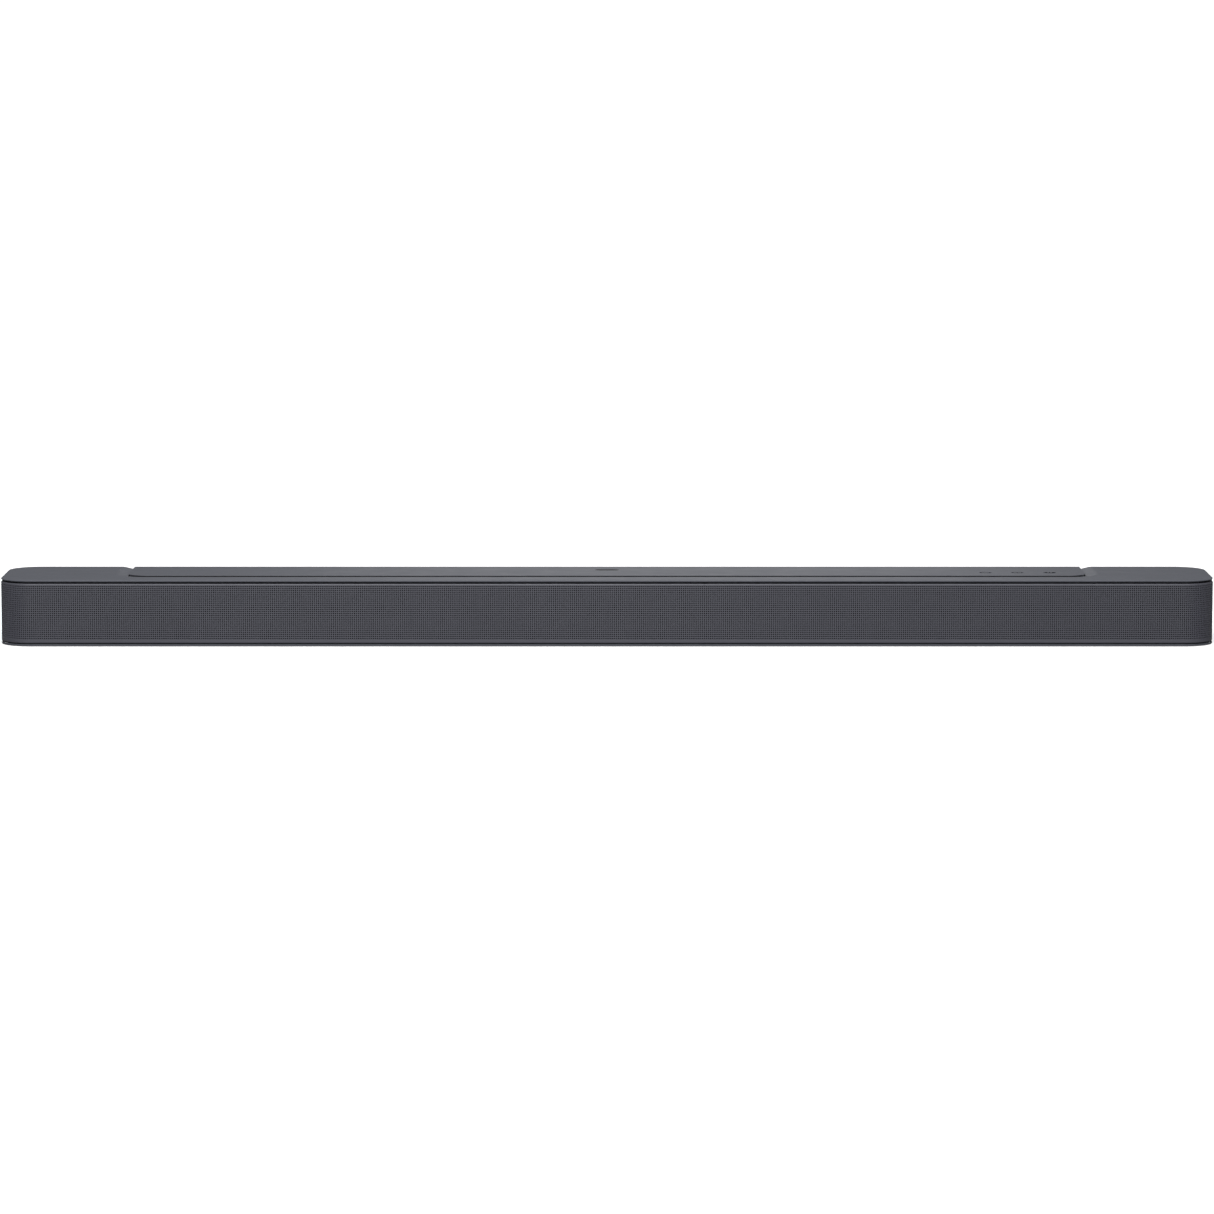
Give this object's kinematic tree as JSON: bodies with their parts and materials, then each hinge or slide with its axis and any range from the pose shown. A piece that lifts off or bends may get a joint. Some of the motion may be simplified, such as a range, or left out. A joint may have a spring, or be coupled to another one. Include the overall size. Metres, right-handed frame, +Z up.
{
  "type": "soundbar",
  "caption": "Long low soundbar with rounded corners, a wrap-round perforated grille, a raised top deck with push keys, and rear sockets.",
  "frame": {"origin": "on the ground under the middle of the bar", "axes": "+X towards the keys' end along the length, +Y from the front to the back, +Z up"},
  "size_m": [1.017, 0.1036, 0.056],
  "materials": {
    "shell": "fine satin texture, slate grey",
    "grille": "satin powder coat, slate grey",
    "trim": "black, satin",
    "cloth": "black acoustic cloth",
    "rubber": "black, matt",
    "cone": "pressed fibre, dark grey",
    "magnet": "black plated",
    "steel": "zinc plated",
    "aluminium": "extruded",
    "brass": "machined",
    "board": "green solder mask"
  },
  "bodies": {
    "bar": {"bottom_case": "shell", "top_cover": "shell", "top_deck": "shell", "deck_badge": "trim", "front_grille": "grille", "grille_cloth": "cloth", "rear_panel": "shell", "front_left_foot": "rubber", "front_right_foot": "rubber", "rear_left_foot": "rubber", "rear_right_foot": "rubber", "volume_down_switch": "trim", "volume_up_switch": "trim", "power_switch": "trim", "key_board": "board", "baffle": "trim", "left_chamber_wall": "trim", "right_chamber_wall": "trim", "woofer_1_frame": "steel", "woofer_1_cone": "cone", "woofer_1_magnet": "magnet", "woofer_2_frame": "steel", "woofer_2_cone": "cone", "woofer_2_magnet": "magnet", "woofer_3_frame": "steel", "woofer_3_cone": "cone", "woofer_3_magnet": "magnet", "woofer_4_frame": "steel", "woofer_4_cone": "cone", "woofer_4_magnet": "magnet", "tweeter_1_body": "magnet", "tweeter_1_dome": "cone", "tweeter_2_body": "magnet", "tweeter_2_dome": "cone", "tweeter_3_body": "magnet", "tweeter_3_dome": "cone", "mains_inlet": "trim", "optical_socket": "trim", "hdmi_in_socket": "trim", "hdmi_out_socket": "trim", "network_socket": "trim", "usb_socket": "trim", "socket_board": "board", "left_wall_insert": "brass", "right_wall_insert": "brass", "main_board": "board", "heat_sink": "aluminium", "power_board": "board", "transformer": "trim", "mains_capacitor": "trim", "display_board": "board", "case_screw_1": "steel", "case_screw_2": "steel", "case_screw_3": "steel", "case_screw_4": "steel", "case_screw_5": "steel", "case_screw_6": "steel"},
    "volume_down": {"volume_down_key": "shell"},
    "volume_up": {"volume_up_key": "shell"},
    "power": {"power_key": "shell"}
  },
  "joints": [
    {"name": "volume_down_press", "type": "slide", "parent": "bar", "child": "volume_down", "axis": [0, 0, -1], "range_m": [0, 0.0005], "stiffness_N_per_m": 400, "springref_m": -0.001},
    {"name": "volume_up_press", "type": "slide", "parent": "bar", "child": "volume_up", "axis": [0, 0, -1], "range_m": [0, 0.0005], "stiffness_N_per_m": 400, "springref_m": -0.001},
    {"name": "power_press", "type": "slide", "parent": "bar", "child": "power", "axis": [0, 0, -1], "range_m": [0, 0.0005], "stiffness_N_per_m": 400, "springref_m": -0.001}
  ]
}
